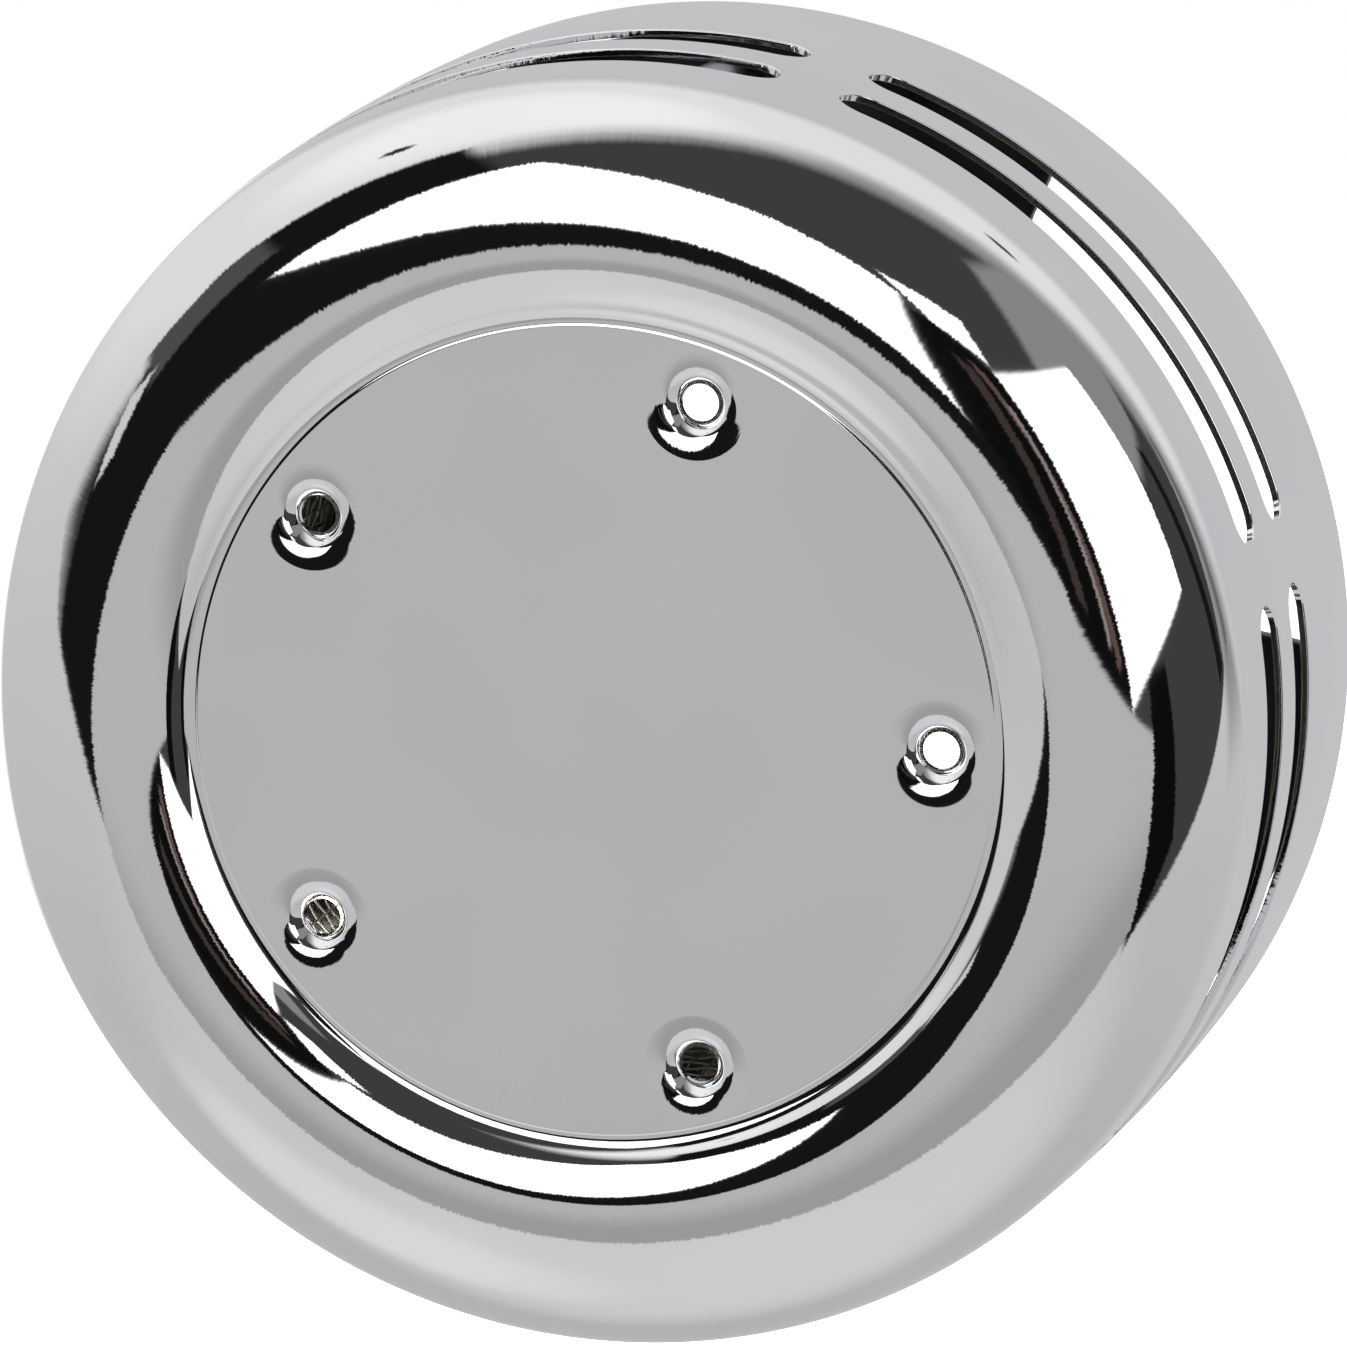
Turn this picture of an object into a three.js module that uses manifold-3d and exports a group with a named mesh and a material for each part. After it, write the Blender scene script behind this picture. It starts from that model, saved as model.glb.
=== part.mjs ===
// Round air filter housing: a drawn, chromed steel cover with slotted sides, standing on a three-lobed
// steel base plate, with a ring filter between them and an air horn over the throat.
//
// Frame, in millimetres: +Y runs along the housing's axis, from its face to its back, and +Z is up as the
// housing hangs on its carburettor. The origin is on the axis, in the back face of the throat gasket.
import * as THREE from "three";
import { mergeVertices } from "three/addons/utils/BufferGeometryUtils.js";
import Module from "manifold-3d";

const wasm = await Module();
wasm.setup();

// ---------------------------------------------------------------- driving dimensions

// Faces along the axis, from the back to the face of the cover
const GASKET_THICKNESS = 1.5;
const GAP = 0.3; // left between pieces that touch
const PLATE_THICKNESS = 3;
const PLATE_BACK = -GASKET_THICKNESS - GAP;
const PLATE_FRONT = PLATE_BACK - PLATE_THICKNESS;
const RIM_Y = -2;

// Cover: one drawing of sheet steel
const SHEET = 1;
const DISC_RADIUS = 51.2; // the flat, sunken disc in the middle of the face
// The wall around the disc, as arcs of [radius, slope in degrees where the arc ends]: a hollow fillet at its
// foot, then three rounds that ease off to the level crest.
const WALL_ARCS = [
  [4, 38],
  [6, 22],
  [18.5, 9.5],
  [12, 0],
];
const SHOULDER_RADIUS = 81.2; // where the dome meets the side
const SHOULDER_DEPTH = 9.3; // behind the disc
const RIM_RADIUS = 84.9;
const COVER_DEPTH = 69.8; // from the disc to the rim
const DISC_Y = RIM_Y - COVER_DEPTH;
const SIDE_FLARE = 0.102; // slope of the side at the shoulder; it eases off towards the rim

// Slots in the side: two rows of long round-ended slots in equal groups
const SLOT_GROUPS = 6;
const SLOT_ROWS = [22.1, 37.3]; // middle of each row, behind the disc
const SLOT_WIDTH = 8.2;
const SLOT_SPAN = 54.4; // degrees
const SLOT_FIRST = 44; // degrees, middle of the first group, from +X towards +Z

// Dimples in the disc: each is a shallow bowl, pierced in the middle and drawn inwards as a short neck
const DIMPLES = 5;
const DIMPLE_CIRCLE = 44.1; // radius of the circle through their centres
const DIMPLE_RADIUS = 7;
const NECK_DEPTH = 3.4; // from the disc to the end of the neck
const HOLE_RADIUS = 2.35;

// Ring filter between the plate and the groove behind the crest
const FILTER_INSIDE = 55.6;
const FILTER_OUTSIDE = 66.6;
const CAP_HEIGHT = 5;
const FILTER_FRONT = DISC_Y - 0.3;
const SCREEN = 0.7;
const PLEATS = 54;

// Base plate, air horn and throat gasket
const THROAT_RADIUS = 38.9;
const PLATE_RADIUS = 68.6;
const LOBE_RADIUS = 81;
const LOBES = 3;
const WINDOW_SPAN = 52; // degrees of each opening between two lobes
const WINDOW_FIRST = 28.5; // degrees, middle of the first opening
const FLANGE_RADIUS = 51.5;
const HORN_LIP = 13; // how far the bell mouth stands in front of the plate
const LEDGE_RADIUS = 53.6; // ring that centres the filter
const LEDGE_HEIGHT = 2;

// Fasteners
const POST_CIRCLE = 74.3; // radius of the circle of the three cover posts
const POST_RADIUS = 3.9;
const POST_BORE = 2.6;
const POST_THREAD_DEPTH = 14;
const COVER_SCREW_RADIUS = 2.3; // M5, at the thread's pitch line
const THROAT_SCREWS = 3;
const THROAT_SCREW_CIRCLE = 46.3;
const THROAT_SCREW_FIRST = 88.5; // degrees
const THROAT_SCREW_RADIUS = 2.8;

const FINE = 60; // facets around the large round pieces
const COARSE = 14; // facets around the small ones

// ---------------------------------------------------------------- shared geometry

const radians = THREE.MathUtils.degToRad;
const points = (list) => list.map(([x, y]) => new THREE.Vector2(x, y));

// A closed outline in radius and height, turned right round the Y axis into a closed ring or disc.
function revolve(profile, facets = FINE) {
  const loop = points(profile);
  if (THREE.ShapeUtils.area(loop) > 0) loop.reverse();
  loop.push(loop[0].clone());
  return solid(new THREE.LatheGeometry(loop.reverse(), facets));
}

// The solid for manifold-3d that a closed geometry stands for.
function solid(geometry) {
  const bare = geometry.index ? geometry.toNonIndexed() : geometry.clone();
  bare.deleteAttribute("normal");
  bare.deleteAttribute("uv");
  const merged = mergeVertices(bare, 1e-4);
  const corners = merged.index.array;
  const kept = [];
  for (let i = 0; i < corners.length; i += 3) {
    const [a, b, c] = corners.slice(i, i + 3);
    if (a !== b && b !== c && c !== a) kept.push(a, b, c);
  }
  return new wasm.Manifold(
    new wasm.Mesh({
      numProp: 3,
      vertProperties: merged.attributes.position.array,
      triVerts: new Uint32Array(kept),
    }),
  );
}

// A solid moved by a matrix, and a matrix that puts a piece at an angle around the axis.
const placed = (body, matrix) => body.transform(matrix.toArray());
function around(angle, radius = 0, y = 0) {
  const turn = new THREE.Matrix4().makeRotationY(-radians(angle));
  return turn.multiply(new THREE.Matrix4().makeTranslation(radius, y, 0));
}

// Back from a solid to a three.js mesh with a name and a finish.
function mesh(name, body, finish) {
  const made = body.getMesh();
  const geometry = new THREE.BufferGeometry();
  geometry.setAttribute("position", new THREE.BufferAttribute(made.vertProperties, 3));
  geometry.setIndex(new THREE.BufferAttribute(made.triVerts, 1));
  geometry.computeVertexNormals();
  const piece = new THREE.Mesh(geometry, new THREE.MeshStandardMaterial(finish));
  piece.name = name;
  return piece;
}

// A flat outline in X and Z, extruded along Y from one height to another.
function plateOf(shape, from, to, curveSegments = 12) {
  const depth = to - from;
  const geometry = new THREE.ExtrudeGeometry(shape, { depth, curveSegments, bevelEnabled: false });
  geometry.rotateX(Math.PI / 2);
  geometry.translate(0, to, 0);
  return solid(geometry);
}

const tube = (inside, outside, from, to, facets) =>
  revolve(
    [
      [inside, from],
      [outside, from],
      [outside, to],
      [inside, to],
    ],
    facets,
  );

const rod = (radius, from, to, facets = COARSE) =>
  revolve(
    [
      [0, from],
      [radius, from],
      [radius, to],
      [0, to],
    ],
    facets,
  );

// ---------------------------------------------------------------- finishes

const CHROME = { color: 0xc8c8cb, metalness: 1, roughness: 0.06 };
const ZINC = { color: 0xb4b6b8, metalness: 1, roughness: 0.35 };
const BLACK_ENAMEL = { color: 0x1b1c1e, metalness: 0, roughness: 0.45 };
const CAST_ALUMINIUM = { color: 0xa9abad, metalness: 1, roughness: 0.4 };
const URETHANE = { color: 0xb9bbbb, metalness: 0, roughness: 0.7 };
const FILTER_PAPER = { color: 0xe6e0cf, metalness: 0, roughness: 0.95 };
const GASKET_PAPER = { color: 0x3b3f3d, metalness: 0, roughness: 0.9 };

// ---------------------------------------------------------------- cover

// Radius of the side's outer face, at a depth behind the disc.
function sideRadius(depth) {
  const run = depth - SHOULDER_DEPTH;
  const full = COVER_DEPTH - SHOULDER_DEPTH;
  const ease = (RIM_RADIUS - SHOULDER_RADIUS - SIDE_FLARE * full) / (full * full);
  return SHOULDER_RADIUS + SIDE_FLARE * run + ease * run * run;
}

// Points up the wall from the disc's edge to the crest, as [radius, depth, slope in radians].
function wallLine(stepsPerArc) {
  let [radius, depth, from] = [DISC_RADIUS, 0, 0];
  const line = [[radius, depth, from]];
  for (const [round, degrees] of WALL_ARCS) {
    const to = radians(degrees);
    for (let i = 1; i <= stepsPerArc; i++) {
      const slope = from + ((to - from) * i) / stepsPerArc;
      const along = round * Math.abs(Math.sin(slope) - Math.sin(from));
      const rise = round * Math.abs(Math.cos(slope) - Math.cos(from));
      line.push([radius + along, depth - rise, slope]);
    }
    [radius, depth, from] = line[line.length - 1];
  }
  return line;
}

const [CREST_RADIUS, CREST_DEPTH] = wallLine(1).pop();
const CREST_HEIGHT = -CREST_DEPTH;

// The cover's outline in radius and depth behind the disc, moved inwards from its outer face. The dome and
// the side are drawn in this many steps each.
function coverOutline(inset, domeSteps, sideSteps) {
  const line = [[0, inset]];
  for (const [radius, depth, slope] of wallLine(2).slice(0, -1)) {
    line.push([radius + inset * Math.sin(slope), depth + inset * Math.cos(slope)]);
  }
  // the dome: a quarter of an ellipse from the crest to the shoulder
  const across = SHOULDER_RADIUS - CREST_RADIUS;
  const down = SHOULDER_DEPTH + CREST_HEIGHT;
  for (let i = 0; i <= domeSteps; i++) {
    const angle = (i / domeSteps) * (Math.PI / 2);
    const normal = new THREE.Vector2(Math.sin(angle) / across, Math.cos(angle) / down).normalize();
    line.push([
      CREST_RADIUS + across * Math.sin(angle) - inset * normal.x,
      SHOULDER_DEPTH - down * Math.cos(angle) + inset * normal.y,
    ]);
  }
  // the side, flaring to the rim
  for (let i = 1; i <= sideSteps; i++) {
    const depth = SHOULDER_DEPTH + ((COVER_DEPTH - SHOULDER_DEPTH) * i) / sideSteps;
    line.push([sideRadius(depth) - inset, depth]);
  }
  return line;
}

const fromDisc = (line) => line.map(([radius, depth]) => [radius, DISC_Y + depth]);

// One long slot's cutter: a round-ended bar that stands on the axis and points along +X.
function slotCutter(depth) {
  const half = SLOT_WIDTH / 2;
  const reach = sideRadius(depth) * Math.sin(radians(SLOT_SPAN / 2)) - half;
  const outline = new THREE.Shape();
  outline.absarc(reach, 0, half, -Math.PI / 2, Math.PI / 2, false);
  outline.absarc(-reach, 0, half, Math.PI / 2, (3 * Math.PI) / 2, false);
  const bar = new THREE.ExtrudeGeometry(outline, {
    depth: RIM_RADIUS,
    curveSegments: 5,
    bevelEnabled: false,
  });
  bar.rotateY(Math.PI / 2);
  bar.translate(SHOULDER_RADIUS / 3, DISC_Y + depth, 0);
  return solid(bar);
}

// The wall of one dimple, as a ring around its own axis, with depth measured behind the disc.
function dimpleCup() {
  return revolve(
    fromDisc([
      [DIMPLE_RADIUS, 0],
      [5.1, 0.19],
      [3.95, 0.48],
      [3.2, 1.13],
      [HOLE_RADIUS, 2.5],
      [HOLE_RADIUS, NECK_DEPTH],
      [HOLE_RADIUS + 0.95, NECK_DEPTH],
      [HOLE_RADIUS + 1.05, 2.3],
      [4.1, 1.6],
      [5.2, SHEET + 0.22],
      [DIMPLE_RADIUS, SHEET],
    ]),
    14,
  );
}

function makeCoverShell() {
  const outer = coverOutline(0, 8, 4);
  const inner = coverOutline(SHEET, 6, 3);
  let shell = revolve(fromDisc([...outer, ...inner.reverse()]));
  for (const depth of SLOT_ROWS) {
    const cutter = slotCutter(depth);
    for (let group = 0; group < SLOT_GROUPS; group++) {
      const angle = SLOT_FIRST + (360 / SLOT_GROUPS) * group;
      shell = shell.subtract(placed(cutter, around(angle)));
    }
  }
  const opening = rod(DIMPLE_RADIUS - 0.3, DISC_Y - SHEET, DISC_Y + 2 * SHEET, 14);
  const cup = dimpleCup();
  for (let i = 0; i < DIMPLES; i++) {
    const place = around((360 / DIMPLES) * i, DIMPLE_CIRCLE);
    shell = shell.subtract(placed(opening, place)).add(placed(cup, place));
  }
  return shell;
}

// Room inside the cover, less a small gap: what stands in it is trimmed to this.
function makeCoverRoom() {
  const inner = coverOutline(SHEET + GAP, 6, 3);
  return revolve(fromDisc([...inner, [0, COVER_DEPTH]]));
}

// A post welded inside the dome, with a blind threaded bore in its back end.
function makePost() {
  const back = PLATE_FRONT - GAP;
  const front = DISC_Y - CREST_HEIGHT;
  const post = rod(POST_RADIUS, front, back);
  return post.subtract(rod(POST_BORE, back - POST_THREAD_DEPTH, back + SHEET));
}

// ---------------------------------------------------------------- filter

const FILTER_BACK = PLATE_FRONT - GAP;
const MEDIA_FRONT = FILTER_FRONT + CAP_HEIGHT + GAP;
const MEDIA_BACK = FILTER_BACK - CAP_HEIGHT - GAP;

// A moulded urethane ring with rounded outer corners that seals one end of the filter.
function makeEndCap(from) {
  const to = from + CAP_HEIGHT;
  const round = 1;
  return revolve([
    [FILTER_INSIDE, from],
    [FILTER_OUTSIDE - round, from],
    [FILTER_OUTSIDE, from + round],
    [FILTER_OUTSIDE, to - round],
    [FILTER_OUTSIDE - round, to],
    [FILTER_INSIDE, to],
  ]);
}

// The pleated paper: a star-shaped ring with a star-shaped hole, so that every fold is one wall thick.
function makeMedia() {
  const wall = 1.1;
  const low = FILTER_INSIDE + SCREEN + 1;
  const high = FILTER_OUTSIDE - SCREEN - 1;
  const star = (shift) => {
    const ring = [];
    for (let i = 0; i < PLEATS * 2; i++) {
      const angle = (i / (PLEATS * 2)) * Math.PI * 2;
      const radius = (i % 2 ? low + wall : high) - shift;
      ring.push(new THREE.Vector2(radius * Math.cos(angle), radius * Math.sin(angle)));
    }
    return ring;
  };
  const shape = new THREE.Shape(star(0));
  shape.holes.push(new THREE.Path(star(wall)));
  return plateOf(shape, MEDIA_FRONT, MEDIA_BACK);
}

// ---------------------------------------------------------------- base plate and throat

// The base plate's outline: a disc with three wide lobes, which leaves three open windows at its edge.
function plateOutline() {
  const shape = new THREE.Shape();
  const pitch = 360 / LOBES;
  for (let i = 0; i < LOBES; i++) {
    const middle = WINDOW_FIRST + pitch * i;
    const start = middle - WINDOW_SPAN / 2;
    const end = middle + WINDOW_SPAN / 2;
    shape.absarc(0, 0, PLATE_RADIUS, radians(start), radians(end), false);
    shape.absarc(0, 0, LOBE_RADIUS, radians(end), radians(start + pitch), false);
  }
  return shape;
}

// A round hole in a flat outline, at an angle and a radius.
function drill(shape, angle, circle, radius) {
  const hole = new THREE.Path();
  const x = circle * Math.cos(radians(angle));
  const z = circle * Math.sin(radians(angle));
  hole.absarc(x, z, radius, 0, Math.PI * 2, true);
  shape.holes.push(hole);
}

const throatAngles = Array.from(
  { length: THROAT_SCREWS },
  (_, i) => THROAT_SCREW_FIRST + (360 / THROAT_SCREWS) * i,
);
const lobeAngles = Array.from(
  { length: LOBES },
  (_, i) => WINDOW_FIRST + (360 / LOBES) * (i + 0.5),
);

function makeBasePlate() {
  const shape = plateOutline();
  for (const angle of throatAngles) {
    drill(shape, angle, THROAT_SCREW_CIRCLE, THROAT_SCREW_RADIUS + GAP);
  }
  for (const angle of lobeAngles) {
    drill(shape, angle, POST_CIRCLE, COVER_SCREW_RADIUS + GAP);
  }
  const plate = plateOf(shape, PLATE_FRONT, PLATE_BACK);
  const throat = rod(THROAT_RADIUS, PLATE_FRONT - 1, PLATE_BACK + 1, FINE);
  const ledge = tube(LEDGE_RADIUS - 1.5, LEDGE_RADIUS, PLATE_FRONT - LEDGE_HEIGHT, PLATE_FRONT + 1);
  return plate.subtract(throat).add(ledge);
}

// The air horn: a turned flange with a rolled bell mouth that smooths the way into the throat.
function makeHorn() {
  const back = PLATE_FRONT - GAP;
  const lip = PLATE_FRONT - HORN_LIP;
  const flange = 3;
  const horn = revolve([
    [THROAT_RADIUS, back],
    [THROAT_RADIUS, lip + 4],
    [THROAT_RADIUS + 0.9, lip + 1.2],
    [THROAT_RADIUS + 2.6, lip],
    [THROAT_RADIUS + 4, lip + 0.8],
    [THROAT_RADIUS + 2, lip + 3.4],
    [THROAT_RADIUS + 2, back - flange],
    [FLANGE_RADIUS, back - flange],
    [FLANGE_RADIUS, back],
  ]);
  return throatAngles.reduce((body, angle) => {
    const hole = rod(THROAT_SCREW_RADIUS + GAP, back - 2 * flange, back + 1);
    return body.subtract(placed(hole, around(angle, THROAT_SCREW_CIRCLE)));
  }, horn);
}

function makeGasket() {
  const shape = new THREE.Shape();
  shape.absarc(0, 0, FLANGE_RADIUS, 0, Math.PI * 2, false);
  drill(shape, 0, 0, THROAT_RADIUS);
  for (const angle of throatAngles) {
    drill(shape, angle, THROAT_SCREW_CIRCLE, THROAT_SCREW_RADIUS + GAP);
  }
  return plateOf(shape, -GASKET_THICKNESS, 0, 15);
}

// ---------------------------------------------------------------- fasteners

// A hexagon socket screw with a low round head. It stands on the origin, its thread runs along +Y and its
// head is on the other side.
function makeScrew(thread, length, headRadius, headHeight, key) {
  const body = revolve(
    [
      [0, -headHeight],
      [headRadius * 0.62, -headHeight],
      [headRadius * 0.93, -headHeight * 0.5],
      [headRadius, 0],
      [thread, 0],
      [thread, length - 0.8],
      [thread - 0.8, length],
      [0, length],
    ],
    COARSE,
  );
  return body.subtract(rod(key, -headHeight - 1, -headHeight * 0.35, 6));
}

const facingForward = (angle, circle, y) =>
  around(angle, circle, y).multiply(new THREE.Matrix4().makeRotationX(Math.PI));

// ---------------------------------------------------------------- assembly

const housing = new THREE.Group();
housing.name = "air_filter_housing";

const cover = new THREE.Group();
cover.add(mesh("cover_shell", makeCoverShell(), CHROME));
const post = makePost();
const room = makeCoverRoom();
lobeAngles.forEach((angle, i) => {
  const standing = placed(post, around(angle, POST_CIRCLE)).intersect(room);
  cover.add(mesh(`cover_post_${i + 1}`, standing, ZINC));
});

const filter = new THREE.Group();
filter.add(mesh("filter_end_cap_front", makeEndCap(FILTER_FRONT), URETHANE));
filter.add(mesh("filter_end_cap_rear", makeEndCap(FILTER_BACK - CAP_HEIGHT), URETHANE));
filter.add(mesh("filter_media", makeMedia(), FILTER_PAPER));
const innerScreen = tube(FILTER_INSIDE, FILTER_INSIDE + SCREEN, MEDIA_FRONT, MEDIA_BACK);
const outerScreen = tube(FILTER_OUTSIDE - SCREEN, FILTER_OUTSIDE, MEDIA_FRONT, MEDIA_BACK);
filter.add(mesh("filter_screen_inner", innerScreen, ZINC));
filter.add(mesh("filter_screen_outer", outerScreen, ZINC));

const base = new THREE.Group();
base.add(mesh("base_plate", makeBasePlate(), BLACK_ENAMEL));
base.add(mesh("air_horn", makeHorn(), CAST_ALUMINIUM));
base.add(mesh("throat_gasket", makeGasket(), GASKET_PAPER));

const WASHER = 1;
const coverScrew = makeScrew(COVER_SCREW_RADIUS, 15, 4.6, 2.8, 1.6);
lobeAngles.forEach((angle, i) => {
  const seat = PLATE_BACK + GAP;
  const washer = tube(COVER_SCREW_RADIUS + GAP, 5.6, seat, seat + WASHER, COARSE);
  base.add(mesh(`cover_washer_${i + 1}`, placed(washer, around(angle, POST_CIRCLE)), ZINC));
  const place = facingForward(angle, POST_CIRCLE, seat + WASHER + GAP);
  base.add(mesh(`cover_screw_${i + 1}`, placed(coverScrew, place), ZINC));
});

const throatScrew = makeScrew(THROAT_SCREW_RADIUS, 16, 4.4, 3.4, 1.9);
throatAngles.forEach((angle, i) => {
  const seat = PLATE_FRONT - GAP - 3 - GAP;
  const washer = tube(THROAT_SCREW_RADIUS + GAP, 4.7, seat - WASHER, seat, COARSE);
  base.add(mesh(`throat_washer_${i + 1}`, placed(washer, around(angle, THROAT_SCREW_CIRCLE)), ZINC));
  const place = around(angle, THROAT_SCREW_CIRCLE, seat - WASHER - GAP);
  base.add(mesh(`throat_screw_${i + 1}`, placed(throatScrew, place), ZINC));
});

housing.add(cover, filter, base);

export default housing;
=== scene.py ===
import math

import bpy
import numpy as np
from mathutils import Matrix, Vector
from mathutils.geometry import delaunay_2d_cdt


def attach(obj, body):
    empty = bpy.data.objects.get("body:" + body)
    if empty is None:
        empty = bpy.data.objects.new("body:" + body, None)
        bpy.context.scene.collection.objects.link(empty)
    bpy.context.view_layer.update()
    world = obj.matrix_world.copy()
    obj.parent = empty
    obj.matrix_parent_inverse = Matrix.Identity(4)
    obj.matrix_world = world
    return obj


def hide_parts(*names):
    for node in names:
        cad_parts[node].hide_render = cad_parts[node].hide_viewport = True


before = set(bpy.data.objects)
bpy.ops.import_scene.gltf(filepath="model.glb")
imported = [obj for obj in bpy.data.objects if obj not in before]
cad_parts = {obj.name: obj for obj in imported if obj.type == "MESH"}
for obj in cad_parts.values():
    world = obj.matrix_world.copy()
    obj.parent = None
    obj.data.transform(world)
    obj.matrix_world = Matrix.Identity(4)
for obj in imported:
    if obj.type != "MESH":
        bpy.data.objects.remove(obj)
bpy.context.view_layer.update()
scene = bpy.context.scene

# ------------------------------------------------------------------ chromed cover
# One drawing of 1 mm sheet steel: a flat disc sunk inside a rounded crest, a domed shoulder and a side that
# flares to a raw rim. Two rows of long slots are punched through the side and five dimples are pressed and
# pierced in the disc. The outside is nickel and chromium plated and buffed; the inside is left satin.
MM = 0.001
SHEET = 1.0
DISC_Y = -71.8
DISC_R = 51.2
# the foot of the wall has a fine groove from the drawing punch: (radius, slope in degrees)
GROOVE = ((51.3, -9.0), (51.42, -15.0), (51.54, -9.0), (51.66, 0.0))
# then the wall: arcs of (radius, slope in degrees where the arc ends, steps)
WALL_ARCS = ((3.3, 38.0, 14), (6.0, 22.0, 10), (18.5, 9.5, 12), (12.0, 0.0, 8))
SHOULDER_R = 81.2
SHOULDER_D = 9.3
RIM_R = 84.9
RIM_D = 69.8
FLARE = 0.102


def linear(hex_colour):
    """A colour written in sRGB, as the linear values a shader takes."""
    parts = [int(hex_colour[i : i + 2], 16) / 255 for i in (1, 3, 5)]
    return [c / 12.92 if c <= 0.04045 else ((c + 0.055) / 1.055) ** 2.4 for c in parts] + [1.0]


def node(tree, kind, inputs=None, **settings):
    """Adds a shader node, with its settings and with a constant or a link on each named input."""
    made = tree.nodes.new(kind)
    for key, value in settings.items():
        setattr(made, key, value)
    for key, value in (inputs or {}).items():
        if isinstance(value, bpy.types.Node):
            value = value.outputs[0]
        if isinstance(value, bpy.types.NodeSocket):
            tree.links.new(value, made.inputs[key])
        else:
            made.inputs[key].default_value = value
    return made


def material(name, **surface):
    """A new material with one Principled surface; returns it, its node tree and the surface node."""
    made = bpy.data.materials.new(name)
    made.use_nodes = True
    tree = made.node_tree
    shader = tree.nodes["Principled BSDF"]
    for key, value in surface.items():
        shader.inputs[key.replace("_", " ")].default_value = value
    return made, tree, shader


def ramp(tree, factor, *stops):
    """A colour ramp through (position, hex colour) stops."""
    made = node(tree, "ShaderNodeValToRGB", {"Fac": factor})
    while len(made.color_ramp.elements) < len(stops):
        made.color_ramp.elements.new(0.5)
    for element, (position, colour) in zip(made.color_ramp.elements, stops):
        element.position = position
        element.color = linear(colour)
    return made


def tint(tree, factor, *stops):
    """Colours a material's surface through (position, hex colour) stops."""
    tree.links.new(ramp(tree, factor, *stops).outputs[0], tree.nodes["Principled BSDF"].inputs["Base Color"])


def roughen(tree, factor, least, most):
    """Varies a surface's roughness between two values as the factor goes from 0 to 1."""
    rough = node(tree, "ShaderNodeMapRange", {"Value": factor, "To Min": least, "To Max": most})
    tree.links.new(rough.outputs[0], tree.nodes["Principled BSDF"].inputs["Roughness"])


def emboss(tree, height, strength, metres):
    """Gives a surface relief: a height of 1 stands this many metres proud."""
    relief = node(tree, "ShaderNodeBump", {"Height": height, "Strength": strength, "Distance": metres})
    tree.links.new(relief.outputs[0], tree.nodes["Principled BSDF"].inputs["Normal"])


def placed(name, mesh):
    """A new object in the scene with this mesh."""
    made = bpy.data.objects.new(name, mesh)
    scene.collection.objects.link(made)
    return made


class Skin:
    """Collects rings of points, each with its true surface normal, and joins them into one mesh."""

    def __init__(self):
        self.points = []
        self.normals = []
        self.faces = []
        self.slots = []
        self.count = 0

    def add(self, points, normals):
        start = self.count
        self.points.append(np.asarray(points, float).reshape(-1, 3))
        self.normals.append(np.asarray(normals, float).reshape(-1, 3))
        self.count += len(self.points[-1])
        return start

    def strip(self, rings, slot=0, closed=True):
        """Joins rings of (points, normals), all of one length, by quads."""
        size = len(rings[0][0])
        starts = [self.add(p, n) for p, n in rings]
        for a, b in zip(starts, starts[1:]):
            for i in range(size if closed else size - 1):
                j = (i + 1) % size
                self.faces.append((a + i, a + j, b + j, b + i))
                self.slots.append(slot)

    def build(self, name, materials):
        """The mesh, with every face turned to the side that its points' normals look to."""
        mesh = bpy.data.meshes.new(name)
        points = np.concatenate(self.points)
        normals = np.concatenate(self.normals)
        faces = []
        for face in self.faces:
            a, b, c, d = (points[i] for i in (face[0], face[1], face[2], face[-1]))
            looks = np.cross(c - a, d - b) if len(face) > 3 else np.cross(b - a, c - a)
            faces.append(face if looks @ normals[list(face)].sum(0) > 0 else face[::-1])
        mesh.from_pydata((points * MM).tolist(), [], faces)
        for m in materials:
            mesh.materials.append(m)
        mesh.polygons.foreach_set("material_index", self.slots)
        mesh.shade_smooth()
        normals /= np.linalg.norm(normals, axis=1, keepdims=True)
        mesh.normals_split_custom_set_from_vertices(normals.tolist())
        return placed(name, mesh)


def side_radius(depth):
    run = depth - SHOULDER_D
    full = RIM_D - SHOULDER_D
    return SHOULDER_R + FLARE * run + (RIM_R - SHOULDER_R - FLARE * full) * (run / full) ** 2


def side_slope(depth):
    run = depth - SHOULDER_D
    full = RIM_D - SHOULDER_D
    return FLARE + 2 * (RIM_R - SHOULDER_R - FLARE * full) * run / full**2


wall = [(DISC_R, 0.0, 0.0)]
for r, degrees in GROOVE:
    last, t = wall[-1], math.radians(degrees)
    wall.append((r, last[1] - (r - last[0]) * math.tan((t + last[2]) / 2), t))
for curve, degrees, steps in WALL_ARCS:
    r, d, start = wall[-1]
    for t in np.linspace(start, math.radians(degrees), steps + 1)[1:]:
        along = curve * abs(math.sin(t) - math.sin(start))
        wall.append((r + along, d - curve * abs(math.cos(t) - math.cos(start)), t))
CREST_R, CREST_H = wall[-1][0], -wall[-1][1]


def wall_and_dome():
    """(radius, depth, outward radial and depth parts of the normal) from the disc's edge to the shoulder."""
    line = [(r, d, -math.sin(t), -math.cos(t)) for r, d, t in wall[:-1]]
    across, down = SHOULDER_R - CREST_R, SHOULDER_D + CREST_H
    for t in np.linspace(0, math.pi / 2 - 0.06, 40):
        nr, nd = math.sin(t) / across, -math.cos(t) / down
        size = math.hypot(nr, nd)
        line.append((CREST_R + across * math.sin(t), SHOULDER_D - down * math.cos(t), nr / size, nd / size))
    return line


def turned(radius, depth, nr, nd, angles, inset=0.0):
    """One ring of points and normals around the axis; inset moves it inwards, through the sheet."""
    c, s = np.cos(angles), np.sin(angles)
    radius = radius - inset * nr
    depth = depth - inset * nd
    points = np.stack([radius * c, np.full_like(c, DISC_Y) + depth, radius * s], -1)
    normals = np.stack([nr * c, np.zeros_like(c) + nd, nr * s], -1)
    return points, normals if np.all(np.asarray(inset) < SHEET) else -normals


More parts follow.
